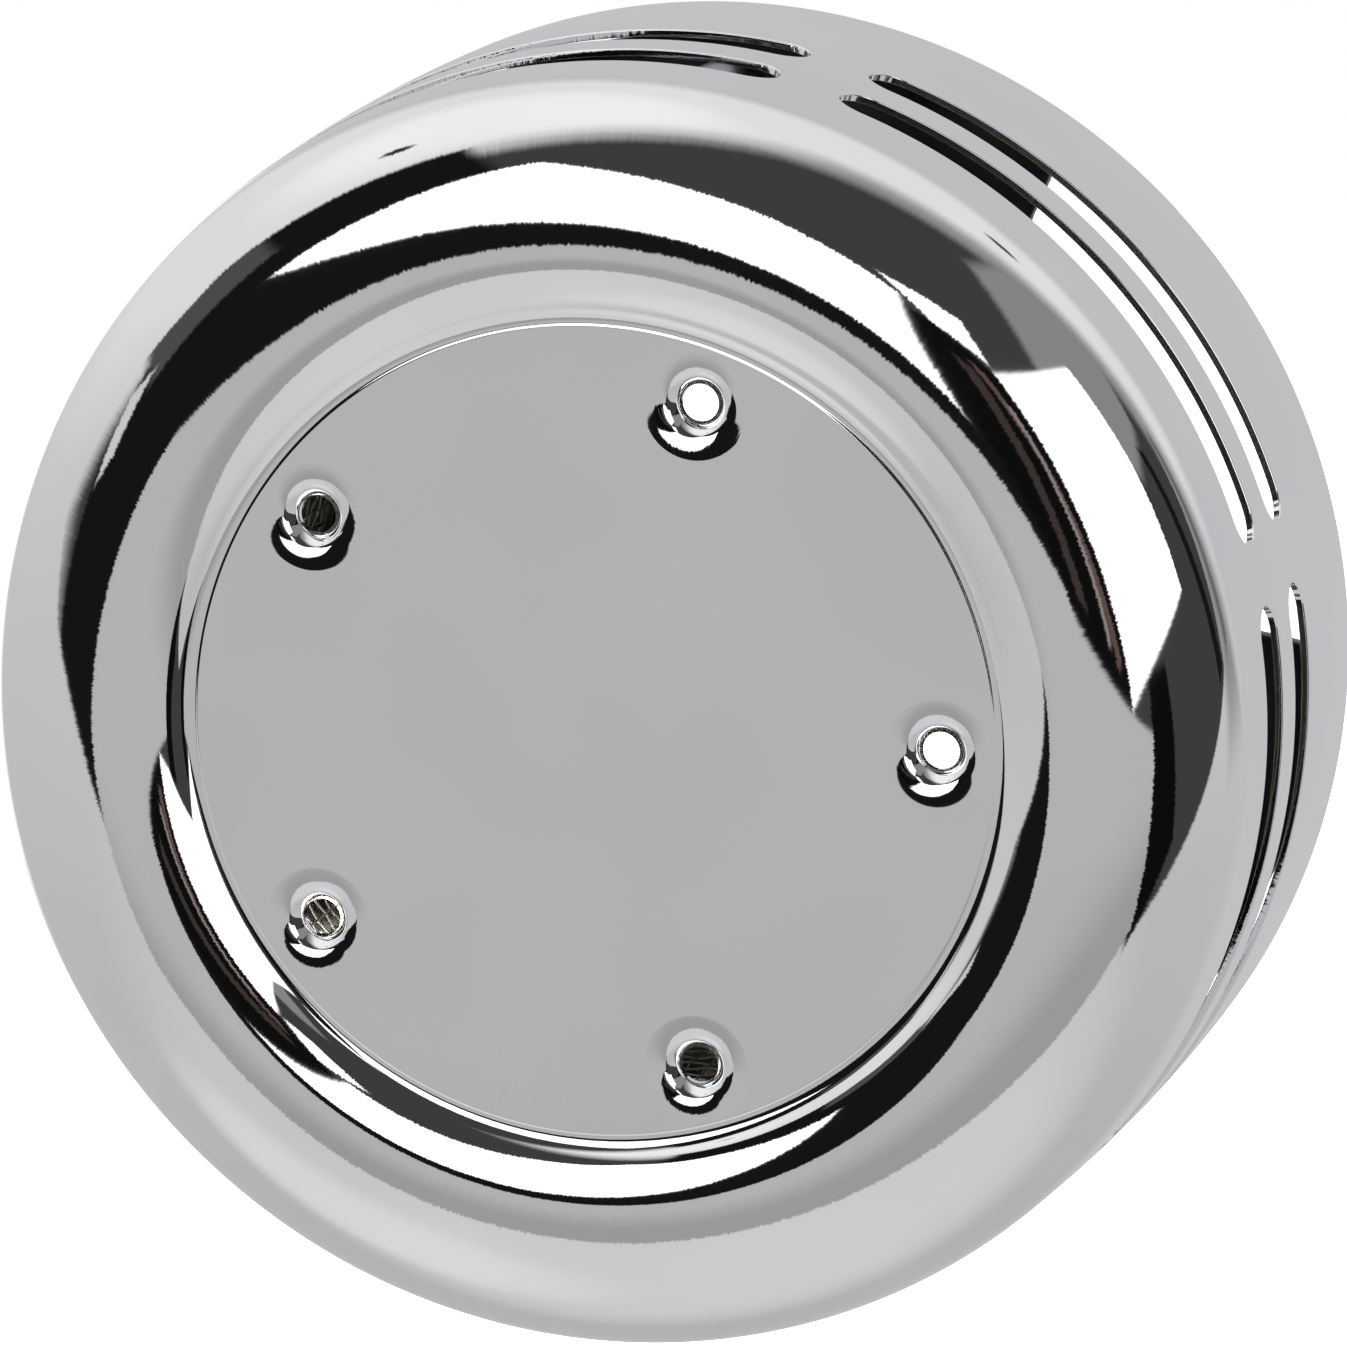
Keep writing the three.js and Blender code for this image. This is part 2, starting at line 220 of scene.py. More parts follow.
def side_point(angles, depth, inset=0.0):
    slope = side_slope(depth)
    size = np.hypot(1, slope)
    return turned(side_radius(depth), depth, 1 / size, -slope / size, angles, inset)


AROUND = np.radians(np.arange(360) + 14.0)
SLOT_ROWS = (22.1, 37.3)
SLOT_W = 8.2
SLOT_SPAN = 54.4
FIRST_SLOT = 44
ROW_PITCH = SLOT_ROWS[1] - SLOT_ROWS[0]

cover = Skin()
line = wall_and_dome()
for inset, slot in ((0.0, 0), (SHEET, 1)):
    rings = [turned(*row, AROUND, inset) for row in line]
    top = SLOT_ROWS[0] - ROW_PITCH / 2
    for depth in np.linspace(SHOULDER_D + 0.5, top, 5):
        rings.append(side_point(AROUND, depth, inset))
    cover.strip(rings, slot)
    low = SLOT_ROWS[1] + ROW_PITCH / 2
    cover.strip([side_point(AROUND, d, inset) for d in np.linspace(low, RIM_D - 0.3, 12)], slot)

# the rim's cut edge, eased on both corners
rim = side_point(AROUND, RIM_D)
rim_inside = side_point(AROUND, RIM_D - 0.3, SHEET)
back = np.tile([0.0, 1.0, 0.0], (360, 1))
inner_edge = side_point(AROUND, RIM_D, SHEET - 0.3)[0]
cover.strip(
    [
        side_point(AROUND, RIM_D - 0.3),
        (side_point(AROUND, RIM_D - 0.08, 0.08)[0], side_point(AROUND, RIM_D)[1] + back),
        (side_point(AROUND, RIM_D, 0.3)[0], back),
        (inner_edge, back),
        (rim_inside[0], rim_inside[1]),
    ]
)


def slot_cell(middle, row, inset, slot):
    """One slot with the sheet around it, on one face of the sheet; the outer face brings the cut edge."""
    radius = side_radius(row)
    half = SLOT_W / 2
    end = radius * math.radians(SLOT_SPAN / 2) - half
    # the cell's border, sampled once around: top edge, right side, bottom edge, left side
    steps = [(a, -ROW_PITCH / 2) for a in range(-30, 30)]
    steps += [(30, d) for d in np.linspace(-ROW_PITCH / 2, ROW_PITCH / 2, 9)[:-1]]
    steps += [(a, ROW_PITCH / 2) for a in range(30, -30, -1)]
    steps += [(-30, d) for d in np.linspace(ROW_PITCH / 2, -ROW_PITCH / 2, 9)[:-1]]
    border = np.array(steps, float)
    border[:, 0] *= math.radians(1) * radius
    edge, out = [], []
    corner = math.radians(30) * radius
    whole = 2 * (corner - end) + ROW_PITCH
    for u, d in border:
        if abs(u) <= end:
            out.append((0.0, math.copysign(1.0, d)))
            edge.append((u, math.copysign(half, d)))
            continue
        # around a round end, in step with the border
        if abs(abs(u) - corner) < 1e-6:
            share = (corner - end + d + ROW_PITCH / 2) / whole
        elif d < 0:
            share = (abs(u) - end) / whole
        else:
            share = 1 - (abs(u) - end) / whole
        t = math.pi * (share - 0.5)
        side = math.copysign(1.0, u)
        out.append((side * math.cos(t), math.sin(t)))
        edge.append((side * (end + half * math.cos(t)), half * math.sin(t)))
    edge, out = np.array(edge), np.array(out)

    def on_sheet(flat, deep):
        return side_point(math.radians(middle) + flat[:, 0] / radius, row + flat[:, 1], deep)

    ease = 0.22
    start = edge + out * ease
    rings = [on_sheet(start + (border - start) * w, inset) for w in (0.0, 0.05, 0.15, 0.35, 0.65, 1.0)]
    cover.strip(rings, slot)
    if inset:
        return
    angles = math.radians(middle) + edge[:, 0] / radius
    around = np.stack([-np.sin(angles), np.zeros_like(angles), np.cos(angles)], -1)
    along = np.tile([0.0, 1.0, 0.0], (len(angles), 1))
    wall = -(around * out[:, :1] + along * out[:, 1:])
    outer = on_sheet(start, 0.0)
    # punched edge: rolled over outside, straight through the sheet, small burr radius inside
    cover.strip(
        [
            outer,
            (on_sheet(edge + out * 0.07, 0.07)[0], outer[1] + wall),
            (on_sheet(edge, ease)[0], wall),
            (on_sheet(edge, SHEET - 0.1)[0], wall),
            (on_sheet(edge + out * 0.1, SHEET)[0], wall - outer[1]),
            (on_sheet(start, SHEET)[0], -outer[1]),
        ]
    )


for group in range(6):
    for row in SLOT_ROWS:
        slot_cell(FIRST_SLOT + 60 * group, row, 0.0, 0)
        slot_cell(FIRST_SLOT + 60 * group, row, SHEET, 1)

# the disc and its dimples: a shallow bowl, a round lip and a neck drawn inwards around the hole
DIMPLE_CIRCLE = 44.1
HOLE_R = 2.35
NECK_DEPTH = 2.9
LIP_R = 6.95
# (radius, slope in degrees): the bowl deepens as these slopes say
slopes = ((LIP_R, 0.0), (6.75, 3.3), (6.0, 5.0), (5.1, 7.7), (4.5, 12.0), (3.95, 20.0))
slopes += ((3.75, 33.0), (3.4, 42.0), (2.9, 47.0), (2.6, 50.0), (2.45, 62.0))
centres = [np.radians(72 * i) for i in range(5)]
centres = [(DIMPLE_CIRCLE * math.cos(a), DIMPLE_CIRCLE * math.sin(a)) for a in centres]
cup = [(slopes[0][0], 0.0, 0.0)]
for (r0, s0), (r1, s1) in zip(slopes, slopes[1:]):
    for share in (0.25, 0.5, 0.75, 1.0):
        r, s = r0 + (r1 - r0) * share, math.radians(s0 + (s1 - s0) * share)
        last = cup[-1]
        cup.append((r, last[1] + (last[0] - r) * math.tan((s + last[2]) / 2), s))
small = np.radians(np.arange(0, 360, 5.0))
for cx, cz in centres:

    def cup_ring(radius, depth, tilt, inset):
        c, s = np.cos(small), np.sin(small)
        nr, ny = -math.sin(tilt), -math.cos(tilt)
        reach = radius - inset * nr
        points = np.stack([cx + reach * c, np.full_like(c, DISC_Y + depth - inset * ny), cz + reach * s], -1)
        normals = np.stack([nr * c, np.full_like(c, ny), nr * s], -1)
        return points, -normals if inset else normals

    inward = np.stack([-np.cos(small), 0 * small, -np.sin(small)], -1)
    rearward = np.tile([0.0, 1.0, 0.0], (len(small), 1))
    front = [cup_ring(*row, 0.0) for row in cup]
    front.append((cup_ring(HOLE_R, cup[-1][1] + 0.3, 0, 0.0)[0], inward))
    front.append((cup_ring(HOLE_R, NECK_DEPTH - 0.1, 0, 0.0)[0], inward))
    front.append((cup_ring(HOLE_R + 0.1, NECK_DEPTH, 0, 0.0)[0], inward + rearward))
    front.append((cup_ring(HOLE_R + 0.8, NECK_DEPTH, 0, 0.0)[0], rearward))
    front.append((cup_ring(HOLE_R + 0.9, NECK_DEPTH - 0.12, 0, 0.0)[0], rearward - inward))
    cover.strip(front)
    behind = [cup_ring(*row, SHEET) for row in cup if row[2] < 0.6]
    behind.append((cup_ring(HOLE_R + 0.9, NECK_DEPTH - 0.12, 0, 0.0)[0], -inward))
    cover.strip(behind, 1)
flat = [(DISC_R * math.cos(a), DISC_R * math.sin(a)) for a in AROUND]
loops = [list(range(360))]
for cx, cz in centres:
    loops.append(list(range(len(flat), len(flat) + len(small))))
    flat += [(cx + LIP_R * math.cos(a), cz + LIP_R * math.sin(a)) for a in small]
edges = [(loop[i], loop[(i + 1) % len(loop)]) for loop in loops for i in range(len(loop))]
made = delaunay_2d_cdt([Vector(p) for p in flat], edges, [], 0, 1e-6)
spots = np.array([tuple(p) for p in made[0]])
for inset, slot in ((0.0, 0), (SHEET, 1)):
    points = np.stack([spots[:, 0], np.full(len(spots), DISC_Y + inset), spots[:, 1]], -1)
    start = cover.add(points, np.tile([0.0, 1.0 if inset else -1.0, 0.0], (len(spots), 1)))
    for face in made[2]:
        middle = spots[list(face)].mean(0)
        if any(math.dist(middle, c) < LIP_R for c in centres):
            continue
        cover.faces.append(tuple(start + v for v in face))
        cover.slots.append(slot)

chrome, tree, shader = material("buffed chromium plate", Metallic=1.0, Roughness=0.03)
place = node(tree, "ShaderNodeTexCoord").outputs["Object"]
split = node(tree, "ShaderNodeSeparateXYZ", {0: place})
flatten = node(tree, "ShaderNodeCombineXYZ", {0: split.outputs[0], 2: split.outputs[2]})
outwards = node(tree, "ShaderNodeVectorMath", {0: flatten}, operation="NORMALIZE")
radius = node(tree, "ShaderNodeVectorMath", {0: flatten}, operation="LENGTH").outputs["Value"]
# buffing lines: at 70 mm from the axis a line is about 0.25 mm wide and 4 mm long, and runs outwards
lines_at = node(tree, "ShaderNodeVectorMath", {0: outwards, 1: (240, 240, 240)}, operation="MULTIPLY")
across = node(tree, "ShaderNodeMath", {0: radius, 1: 220.0}, operation="MULTIPLY")
lines_at = node(tree, "ShaderNodeVectorMath", {0: lines_at, 1: node(tree, "ShaderNodeCombineXYZ", {1: across})})
lines = node(tree, "ShaderNodeTexNoise", {"Vector": lines_at, "Scale": 1.0, "Detail": 4.0, "Roughness": 0.75})
lean = node(tree, "ShaderNodeMath", {0: lines, 1: 0.5}, operation="SUBTRACT")
# faint waves of the drawn sheet, about 25 mm long
waves = node(tree, "ShaderNodeTexNoise", {"Vector": place, "Scale": 40.0, "Detail": 1.0})
wave = node(tree, "ShaderNodeMath", {0: waves, 1: 0.5}, operation="SUBTRACT")
lean = node(tree, "ShaderNodeMath", {0: lean, 1: 0.04}, operation="MULTIPLY")
lean = node(tree, "ShaderNodeMath", {0: wave, 1: 0.012, 2: lean}, operation="MULTIPLY_ADD")
push = node(tree, "ShaderNodeVectorMath", {0: outwards, "Scale": lean}, operation="SCALE")
own = node(tree, "ShaderNodeNewGeometry").outputs["Normal"]
leaning = node(tree, "ShaderNodeVectorMath", {0: own, 1: push})
leaning = node(tree, "ShaderNodeVectorMath", {0: leaning}, operation="NORMALIZE")
tree.links.new(leaning.outputs[0], shader.inputs["Normal"])
tint(tree, waves, (0.3, "#f2f2f4"), (0.7, "#f6f6f7"))

satin, tree, shader = material("satin nickel flash inside the cover", Metallic=1.0)
place = node(tree, "ShaderNodeTexCoord").outputs["Object"]
# drawing marks run along the axis: 0.8 mm wide, 30 mm long
marks_at = node(tree, "ShaderNodeMapping", {"Vector": place, "Scale": (1200, 33, 1200)})
marks = node(tree, "ShaderNodeTexNoise", {"Vector": marks_at, "Scale": 1.0, "Detail": 4.0})
tint(tree, marks, (0.3, "#a9a8a6"), (0.7, "#bdbcb9"))
roughen(tree, marks, 0.28, 0.4)

cover_skin = cover.build("cover_skin", [chrome, satin])
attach(cover_skin, "cover")
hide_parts("cover_shell")

# ------------------------------------------------------------------ cover posts
# Three turned steel posts, welded to the inside of the dome by a puddled fillet and tapped M5 from the back.
# Zinc plated after welding, so the weld keeps its ripples under the plate.
POST_CIRCLE = 74.3
POST_R = 3.9
POST_BACK = -5.1
THREAD_DEEP = 14.0
LOBES = (88.5, 208.5, 328.5)


def ring(at, radius, angles, y):
    """Points around an axis along Y that passes through at (x, z)."""
    x, z = at[0] + radius * np.cos(angles), at[1] + radius * np.sin(angles)
    return np.stack([x, np.full(len(angles), float(y)), z], -1)


def lofted(name, rings, surface, close=False, crease=35):
    """A mesh through rings of points, all of one length; ends that aren't closed up are capped flat."""
    size = len(rings[0])
    points = np.concatenate([np.asarray(r, float) for r in rings]) * MM
    faces = []
    for k in range(len(rings) if close else len(rings) - 1):
        a, b = k * size, (k + 1) % len(rings) * size
        faces += [(a + i, b + i, b + (i + 1) % size, a + (i + 1) % size) for i in range(size)]
    if not close:
        faces += [tuple(range(size)), tuple(range(len(points) - 1, len(points) - 1 - size, -1))]
    mesh = bpy.data.meshes.new(name)
    mesh.from_pydata(points.tolist(), [], faces)
    mesh.materials.append(surface)
    mesh.shade_smooth()
    made = placed(name, mesh)
    bpy.context.view_layer.objects.active = made
    made.select_set(True)
    bpy.ops.object.mode_set(mode="EDIT")
    bpy.ops.mesh.select_all(action="SELECT")
    bpy.ops.mesh.normals_make_consistent(inside=False)
    bpy.ops.object.mode_set(mode="OBJECT")
    made.select_set(False)
    mesh.set_sharp_from_angle(angle=math.radians(crease))
    return made


def eased(outline, size, steps=4):
    """A closed outline with each corner rounded off, size back from the corner where there is room."""
    done = []
    count = len(outline)
    for i, corner in enumerate(outline):
        here = np.array(corner, float)
        to_last = np.array(outline[i - 1], float) - here
        to_next = np.array(outline[(i + 1) % count], float) - here
        room = 0.45 * min(np.linalg.norm(to_last), np.linalg.norm(to_next))
        reach = min(size, room)
        a = here + to_last / np.linalg.norm(to_last) * reach
        b = here + to_next / np.linalg.norm(to_next) * reach
        for t in np.linspace(0, 1, steps):
            done.append(tuple((1 - t) ** 2 * a + 2 * t * (1 - t) * here + t**2 * b))
    return done


def lathe(name, outline, surface, steps=180, at=(0.0, 0.0), crease=35):
    """A closed outline of (radius, y) turned around an axis along Y that passes through at (x, z)."""
    angles = np.linspace(0, 2 * math.pi, steps, endpoint=False)
    return lofted(name, [ring(at, r, angles, y) for r, y in outline], surface, close=True, crease=crease)


def around(angle, circle):
    return circle * math.cos(math.radians(angle)), circle * math.sin(math.radians(angle))


def thread(root, crest, pitch, start, end, at, sides):
    """Rings of one screw thread between two heights, fading out at both ends."""
    angles = np.linspace(0, 2 * math.pi, sides, endpoint=False)
    rings = []
    for y in np.arange(start, end, pitch / 8):
        phase = (y / pitch - angles / (2 * math.pi)) % 1.0
        tooth = np.clip(1.25 - 2.5 * np.abs(phase - 0.5), 0, 1)
        fade = min(1.0, (y - start) / pitch, (end - y) / pitch)
        r = root + (crest - root) * tooth * fade
        rings.append(ring(at, r, angles, y))
    return rings


zinc, tree, shader = material("bright zinc plate", Metallic=1.0)
place = node(tree, "ShaderNodeTexCoord").outputs["Object"]
# crystals of the plating, about 1.5 mm, and turning marks 0.15 mm wide along the axis of the part
crystals = node(tree, "ShaderNodeTexNoise", {"Vector": place, "Scale": 650.0, "Detail": 3.0})
tint(tree, crystals, (0.3, "#c3c6cb"), (0.7, "#d5d7da"))
roughen(tree, crystals, 0.16, 0.3)
marks_at = node(tree, "ShaderNodeMapping", {"Vector": place, "Scale": (60, 6500, 60)})
marks = node(tree, "ShaderNodeTexNoise", {"Vector": marks_at, "Scale": 1.0, "Detail": 1.0})
emboss(tree, marks, 0.25, 0.00003)


def dome_inside(radius):
    """Y of the dome's inner face at a distance from the axis."""
    across, down = SHOULDER_R - CREST_R, SHOULDER_D + CREST_H
    best = []
    for t in np.linspace(0.02, math.pi / 2 - 0.02, 160):
        nr, nd = math.sin(t) / across, -math.cos(t) / down
        size = math.hypot(nr, nd)
        reach = CREST_R + across * math.sin(t) - SHEET * nr / size
        best.append((reach, SHOULDER_D - down * math.cos(t) - SHEET * nd / size))
    best = np.array(best)
    return DISC_Y + np.interp(radius, best[:, 0], best[:, 1])


for i, angle in enumerate(LOBES):
    at = around(angle, POST_CIRCLE)
    sides = 48
    turns = np.linspace(0, 2 * math.pi, sides, endpoint=False)
    rings = []
    # the weld: a bead that spreads over the dome and climbs 2 mm up the post, with eleven ripples
    ripple = 0.12 * np.sin(11 * turns)
    for reach, climb in ((2.3, 0.0), (2.1, 0.35), (1.5, 0.75), (0.8, 1.25), (0.3, 1.8), (0.0, 2.4)):
        r = POST_R + reach + ripple * (1 if reach else 0)
        x, z = at[0] + r * np.cos(turns), at[1] + r * np.sin(turns)
        away = np.minimum(np.hypot(x, z), SHOULDER_R - 1.4)
        scale = away / np.hypot(x, z)
        x, z = x * scale, z * scale
        rings.append(np.stack([x, dome_inside(np.hypot(x, z)) + climb, z], -1))
    stem = [(POST_R, -62.0), (POST_R, -30.0), (POST_R, POST_BACK - 0.6)]
    stem += [(POST_R - 0.5, POST_BACK), (3.1, POST_BACK), (2.65, POST_BACK - 0.5)]
    rings += [ring(at, r, turns, y) for r, y in stem]
    bore = thread(2.6, 2.35, 0.8, POST_BACK - THREAD_DEEP, POST_BACK - 0.6, at, sides)
    rings += bore[::-1]
    rings.append(ring(at, 0.02, turns, POST_BACK - THREAD_DEEP - 1.2))
    post = lofted(f"post_{i + 1}", rings, zinc)
    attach(post, "cover")
    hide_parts(f"cover_post_{i + 1}")

# ------------------------------------------------------------------ ring filter
# Cotton gauze, oiled lightly and folded into 54 pleats between two woven wire sleeves, with both ends cast
# into grey urethane. The caps have a moulded sealing bead and a shallow groove from the mould.
FILTER_FRONT = -72.1
FILTER_BACK = -5.1
CAP = 5.0
CAP_IN, CAP_OUT = 55.6, 66.6
MEDIA_FRONT = FILTER_FRONT + CAP + 0.3
MEDIA_BACK = FILTER_BACK - CAP - 0.3
PLEATS = 54

urethane, tree, shader = material("grey cast urethane", Roughness=0.62)
place = node(tree, "ShaderNodeTexCoord").outputs["Object"]
# mottling of the cast surface, 6 mm, and fine pores, 0.4 mm
mottle = node(tree, "ShaderNodeTexNoise", {"Vector": place, "Scale": 160.0, "Detail": 3.0})
tint(tree, mottle, (0.35, "#6c6f6e"), (0.65, "#7b7e7d"))
pores = node(tree, "ShaderNodeTexVoronoi", {"Vector": place, "Scale": 2400.0})
emboss(tree, pores, 0.3, 0.00004)
for name, sign, y in (("filter_cap_front", 1, FILTER_FRONT), ("filter_cap_rear", -1, FILTER_BACK)):
    outline = eased(
        [
            (CAP_IN, y + sign * 0.8),
            (58.6, y + sign * 0.8),
            (59.4, y),
            (63.0, y),
            (63.8, y + sign * 0.9),
            (CAP_OUT - 1.2, y + sign * 1.1),
            (CAP_OUT, y + sign * 2.2),
            (CAP_OUT, y + sign * (CAP - 0.9)),
            (CAP_OUT - 0.9, y + sign * CAP),
            (CAP_IN + 0.4, y + sign * CAP),
            (CAP_IN, y + sign * (CAP - 0.5)),
        ],
        0.7,
    )
    if sign > 0:
        # the front cap's inner edge follows the slope of the wall around the sunken disc
        outline = [(r, max(v, -71.9 - (r - CAP_IN) * 0.32)) for r, v in outline]
    cap = lathe(name, outline, urethane)
    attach(cap, "filter")
    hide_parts("filter_end_cap_front" if sign > 0 else "filter_end_cap_rear")

gauze, tree, shader = material("oiled cotton gauze", Roughness=0.9)
shader.inputs["Subsurface Weight"].default_value = 0.25
shader.inputs["Subsurface Radius"].default_value = (0.004, 0.0036, 0.003)
place = node(tree, "ShaderNodeTexCoord").outputs["Object"]
# the weave has a thread every 0.8 mm along the axis and across the folds
weft = node(tree, "ShaderNodeTexWave", {"Vector": place, "Scale": 390.0, "Distortion": 0.6}, bands_direction="Y")
warp_at = node(tree, "ShaderNodeSeparateXYZ", {0: place})
turn_at = node(tree, "ShaderNodeMath", {0: warp_at.outputs[2], 1: warp_at.outputs[0]}, operation="ARCTAN2")
warp = node(tree, "ShaderNodeMath", {0: turn_at, 1: 470.0}, operation="MULTIPLY")
warp = node(tree, "ShaderNodeMath", {0: warp}, operation="SINE")
weave = node(tree, "ShaderNodeMath", {0: warp, 1: 0.25, 2: weft.outputs["Fac"]}, operation="MULTIPLY_ADD")
oil = node(tree, "ShaderNodeTexNoise", {"Vector": place, "Scale": 120.0, "Detail": 4.0})
mixed = node(tree, "ShaderNodeMath", {0: weave, 1: 0.3, 2: oil.outputs[0]}, operation="MULTIPLY_ADD")
tint(tree, mixed, (0.35, "#b3ae9f"), (0.8, "#d2cdc0"))
emboss(tree, weave, 0.5, 0.00012)
steps = PLEATS * 14
turns = np.linspace(0, 2 * math.pi, steps, endpoint=False)
fold = np.arcsin(0.97 * np.sin(PLEATS * turns)) / math.asin(0.97)
rings = []
for side in (1, -1):
    levels = np.linspace(MEDIA_FRONT - 0.3, MEDIA_BACK + 0.3, 9)
    for y in levels if side > 0 else levels[::-1]:
        sway = 0.12 * np.sin(turns * 7 + y * 0.2) + 0.1 * np.sin(turns * 31 - y * 0.35)
        r = 61.1 + 3.1 * fold + 0.55 * side + sway
        rings.append(ring((0.0, 0.0), r, turns, y))
media = lofted("pleated_gauze", rings, gauze, close=True, crease=60)
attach(media, "filter")
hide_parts("filter_media")

wire, tree, shader = material("galvanised screen wire", Metallic=1.0)
place = node(tree, "ShaderNodeTexCoord").outputs["Object"]
# patches of brighter and duller zinc, about 8 mm across
patches = node(tree, "ShaderNodeTexNoise", {"Vector": place, "Scale": 120.0, "Detail": 4.0})
tint(tree, patches, (0.3, "#b4b7ba"), (0.7, "#cfd1d3"))
roughen(tree, patches, 0.25, 0.45)


def woven_sleeve(name, radius, uprights, hoops):
    """Plain-woven wire: uprights along the axis and hoops around it pass over and under each other."""
    wire_r, sway, sides = 0.17, 0.17, 6
    ends = np.linspace(MEDIA_FRONT - 0.4, MEDIA_BACK + 0.4, hoops * 2 + 1)
    points, faces = [], []

    def tube(path, out, closed):
        ahead = np.roll(path, -1, 0) - np.roll(path, 1, 0)
        if not closed:
            ahead[0], ahead[-1] = path[1] - path[0], path[-1] - path[-2]
        ahead /= np.linalg.norm(ahead, axis=1, keepdims=True)
        across = np.cross(ahead, out)
        start = sum(len(p) for p in points)
        spin = np.arange(sides) * 2 * math.pi / sides
        skin = out[:, None] * np.cos(spin)[:, None] + across[:, None] * np.sin(spin)[:, None]
        points.append((path[:, None] + wire_r * skin).reshape(-1, 3))
        rows = len(path)
        for k in range(rows if closed else rows - 1):
            a, b = start + k * sides, start + (k + 1) % rows * sides
            faces.extend((a + i, a + (i + 1) % sides, b + (i + 1) % sides, b + i) for i in range(sides))
        if not closed:
            faces.append(tuple(range(start, start + sides)))
            faces.append(tuple(range(start + rows * sides - 1, start + (rows - 1) * sides - 1, -1)))

    for j in range(uprights):
        a = 2 * math.pi * j / uprights
        out = np.tile([math.cos(a), 0.0, math.sin(a)], (len(ends), 1))
        shift = np.sin(np.arange(len(ends)) * math.pi / 2) * (1 if j % 2 else -1)
        path = out * (radius + sway * shift)[:, None]
        path[:, 1] = ends
        tube(path, out, False)
    for k in range(hoops):
        a = np.linspace(0, 2 * math.pi, uprights * 2, endpoint=False)
        out = np.stack([np.cos(a), 0 * a, np.sin(a)], -1)
        shift = np.cos(np.arange(len(a)) * math.pi / 2) * (1 if k % 2 else -1)
        path = out * (radius + sway * shift)[:, None]
        path[:, 1] = ends[2 * k + 1]
        tube(path, out, True)
    mesh = bpy.data.meshes.new(name)
    mesh.from_pydata((np.concatenate(points) * MM).tolist(), [], faces)
    mesh.materials.append(wire)
    mesh.shade_smooth()
    return placed(name, mesh)


for name, radius, uprights in (("screen_inner", CAP_IN + 0.36, 128), ("screen_outer", CAP_OUT - 0.36, 152)):
    sleeve = woven_sleeve(name, radius, uprights, 20)
    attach(sleeve, "filter")
    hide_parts("filter_" + name)

# ------------------------------------------------------------------ base plate
# Stamped 3 mm steel with three lobes that carry the cover, a ring that centres the filter and holes for the
# two sets of screws. Shot-blasted and stoved in semi-gloss black.
THROAT = 38.9
PLATE_FRONT, PLATE_BACK = -4.8, -1.8
enamel, tree, shader = material("black stove enamel", Roughness=0.32, IOR=1.5)
place = node(tree, "ShaderNodeTexCoord").outputs["Object"]
# orange peel of the sprayed enamel, waves of about 1.2 mm
peel = node(tree, "ShaderNodeTexNoise", {"Vector": place, "Scale": 820.0, "Detail": 2.0})
emboss(tree, peel, 0.35, 0.00003)
cloud = node(tree, "ShaderNodeTexNoise", {"Vector": place, "Scale": 60.0, "Detail": 3.0})
tint(tree, cloud, (0.3, "#141416"), (0.7, "#1b1c1e"))
roughen(tree, cloud, 0.27, 0.38)


def plate(name, outer, holes, front, rear, ease, surface):
    """A flat plate with holes: eased edges all round, flat faces filled between the outlines."""
    points, faces, loops = [], [], []
    toward = 1 if rear > front else -1
    for outline, outwards in [(outer, 1)] + [(h, -1) for h in holes]:
        flat = np.array(outline, float)
        ahead = np.roll(flat, -1, 0) - np.roll(flat, 1, 0)
        normal = np.stack([ahead[:, 1], -ahead[:, 0]], -1) * outwards
        normal /= np.linalg.norm(normal, axis=1, keepdims=True)
        rows = ((ease, front), (ease * 0.3, front + ease * 0.3), (0, front + ease))
        rows += ((0, rear - ease), (ease * 0.3, rear - ease * 0.3), (ease, rear))
        start, count = len(points), len(flat)
        for inset, y in rows:
            points += [(p[0], y, p[1]) for p in flat - normal * inset]
        for k in range(len(rows) - 1):
            a, b = start + k * count, start + (k + 1) * count
            strip = [(a + i, b + i, b + (i + 1) % count, a + (i + 1) % count) for i in range(count)]
            faces += strip if outwards * toward > 0 else [face[::-1] for face in strip]
        loops.append((start, start + (len(rows) - 1) * count, count))
    edges = len(faces)
    for end in (0, 1):
        ids = [loop[end] + i for loop in loops for i in range(loop[2])]
        index = {v: n for n, v in enumerate(ids)}
        links = []
        for loop in loops:
            first, count = index[loop[end]], loop[2]
            links += [(first + i, first + (i + 1) % count) for i in range(count)]
        spots = [Vector((points[v][0], points[v][2])) for v in ids]
        result = delaunay_2d_cdt(spots, links, [], 0, 1e-7)
        rim = np.array([tuple(spots[i]) for i in range(loops[0][2])])
        facing = toward if end else -toward
        for face in result[2]:
            p, q, r = (result[0][v] for v in face)
            middle = (p + q + r) / 3
            if not inside(middle, rim) or any(inside(middle, np.array(h)) for h in holes):
                continue
            turned_over = ((q - p).cross(r - p)) * facing > 0
            faces.append(tuple(ids[v] for v in (face[::-1] if turned_over else face)))
    mesh = bpy.data.meshes.new(name)
    mesh.from_pydata((np.array(points) * MM).tolist(), [], faces)
    mesh.materials.append(surface)
    mesh.shade_smooth()
    for face in list(mesh.polygons)[edges:]:
        face.use_smooth = False
    mesh.set_sharp_from_angle(angle=math.radians(50))
    return placed(name, mesh)


def inside(spot, outline):
    """Whether a flat point is inside a closed outline."""
    x, y = spot
    a, b = outline, np.roll(outline, -1, 0)
    crosses = (a[:, 1] > y) != (b[:, 1] > y)
    with np.errstate(divide="ignore", invalid="ignore"):
        at = a[:, 0] + (y - a[:, 1]) * (b[:, 0] - a[:, 0]) / (b[:, 1] - a[:, 1])
    return bool(np.sum(crosses & (x < at)) % 2)


def circle(at, radius, count):
    t = np.linspace(0, 2 * math.pi, count, endpoint=False)
    return [(at[0] + radius * math.cos(a), at[1] + radius * math.sin(a)) for a in t]


